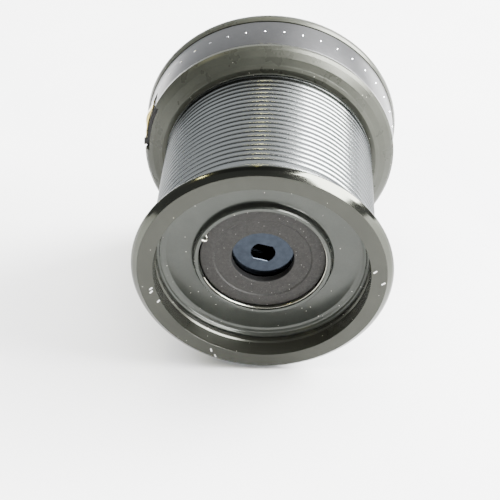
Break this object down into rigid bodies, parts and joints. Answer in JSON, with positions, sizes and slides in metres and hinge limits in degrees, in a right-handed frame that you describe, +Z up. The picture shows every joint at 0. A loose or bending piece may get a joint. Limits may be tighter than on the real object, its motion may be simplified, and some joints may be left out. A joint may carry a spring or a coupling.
{
  "type": "fishing reel spool",
  "caption": "Long-cast spinning reel spool lying on its side: grooved line drum, wide front lip, drag washers in a front cup, bearing hub, click and skirt with a line clip.",
  "frame": {"origin": "centre of the bounding box's bottom face, under the middle of the spool's length", "axes": "+Y along the spool's axis from the front lip to the skirt, +Z up as it lies on its side, +X to the right seen from the front"},
  "size_m": [0.0746, 0.07, 0.0746],
  "materials": {
    "olive_anodised": "olive-grey anodised, satin with a polished bevel",
    "turned_aluminium": "silver, turned in fine rings",
    "grey_anodised": "grey anodised, satin",
    "silver_anodised": "silver anodised, satin",
    "friction_fibre": "greased woven friction fibre, dark brown-grey",
    "blued_steel": "blue-grey polished",
    "plain_steel": "plain, machined",
    "bearing_steel": "ground and polished",
    "spring_steel": "drawn wire",
    "cage_brass": "pressed",
    "black_plastic": "moulded, matte",
    "gilt_metal": "bright, gold-coloured"
  },
  "bodies": {
    "spool": {"front_lip": "olive_anodised", "line_drum": "turned_aluminium", "spool_core": "grey_anodised", "wire_clip": "spring_steel", "friction_washer_top": "friction_fibre", "friction_washer_mid_a": "friction_fibre", "spool_washer": "plain_steel", "friction_washer_mid_b": "friction_fibre", "friction_washer_low": "friction_fibre", "front_bearing_outer": "bearing_steel", "rear_bearing_outer": "bearing_steel", "bearing_spacer": "plain_steel", "bearing_clip": "spring_steel", "rear_web": "grey_anodised", "web_screw_1": "plain_steel", "web_screw_2": "plain_steel", "web_screw_3": "plain_steel", "pawl_screw": "plain_steel", "rear_flange": "olive_anodised", "skirt_band": "silver_anodised", "skirt_rim": "olive_anodised", "line_clip_base": "black_plastic", "line_clip_pin": "plain_steel"},
    "shaft_side": {"key_washer_top": "blued_steel", "key_washer_low": "blued_steel", "hub_sleeve": "plain_steel", "front_bearing_inner": "bearing_steel", "rear_bearing_inner": "bearing_steel", "click_ratchet": "plain_steel"},
    "front_cage": {"front_bearing_balls": "cage_brass"},
    "rear_cage": {"rear_bearing_balls": "cage_brass"},
    "pawl": {"click_pawl": "plain_steel", "pawl_spring": "spring_steel"},
    "clip_arm": {"line_clip_arm": "gilt_metal"}
  },
  "joints": [
    {"name": "drag_slip", "type": "hinge", "parent": "spool", "child": "shaft_side", "pos_m": [0, 0.002, 0.03732], "axis": [0, 1, 0], "continuous": true},
    {"name": "front_cage_spin", "type": "hinge", "parent": "spool", "child": "front_cage", "pos_m": [0, -0.013, 0.03732], "axis": [0, 1, 0], "continuous": true},
    {"name": "rear_cage_spin", "type": "hinge", "parent": "spool", "child": "rear_cage", "pos_m": [0, 0.0125, 0.03732], "axis": [0, 1, 0], "continuous": true},
    {"name": "pawl_swing", "type": "hinge", "parent": "spool", "child": "pawl", "pos_m": [0.0105, 0.01975, 0.02872], "axis": [0, -1, 0], "range_deg": [0, 14], "stiffness_Nm_per_rad": 0.01},
    {"name": "line_clip_lift", "type": "hinge", "parent": "spool", "child": "clip_arm", "pos_m": [-0.03582, 0.02335, 0.0414], "axis": [0, -1, 0], "range_deg": [0, 8], "stiffness_Nm_per_rad": 0.05}
  ],
  "couplings": [
    {"joint": "front_cage_spin", "follows": "drag_slip", "ratio": 0.423},
    {"joint": "rear_cage_spin", "follows": "drag_slip", "ratio": 0.423}
  ]
}
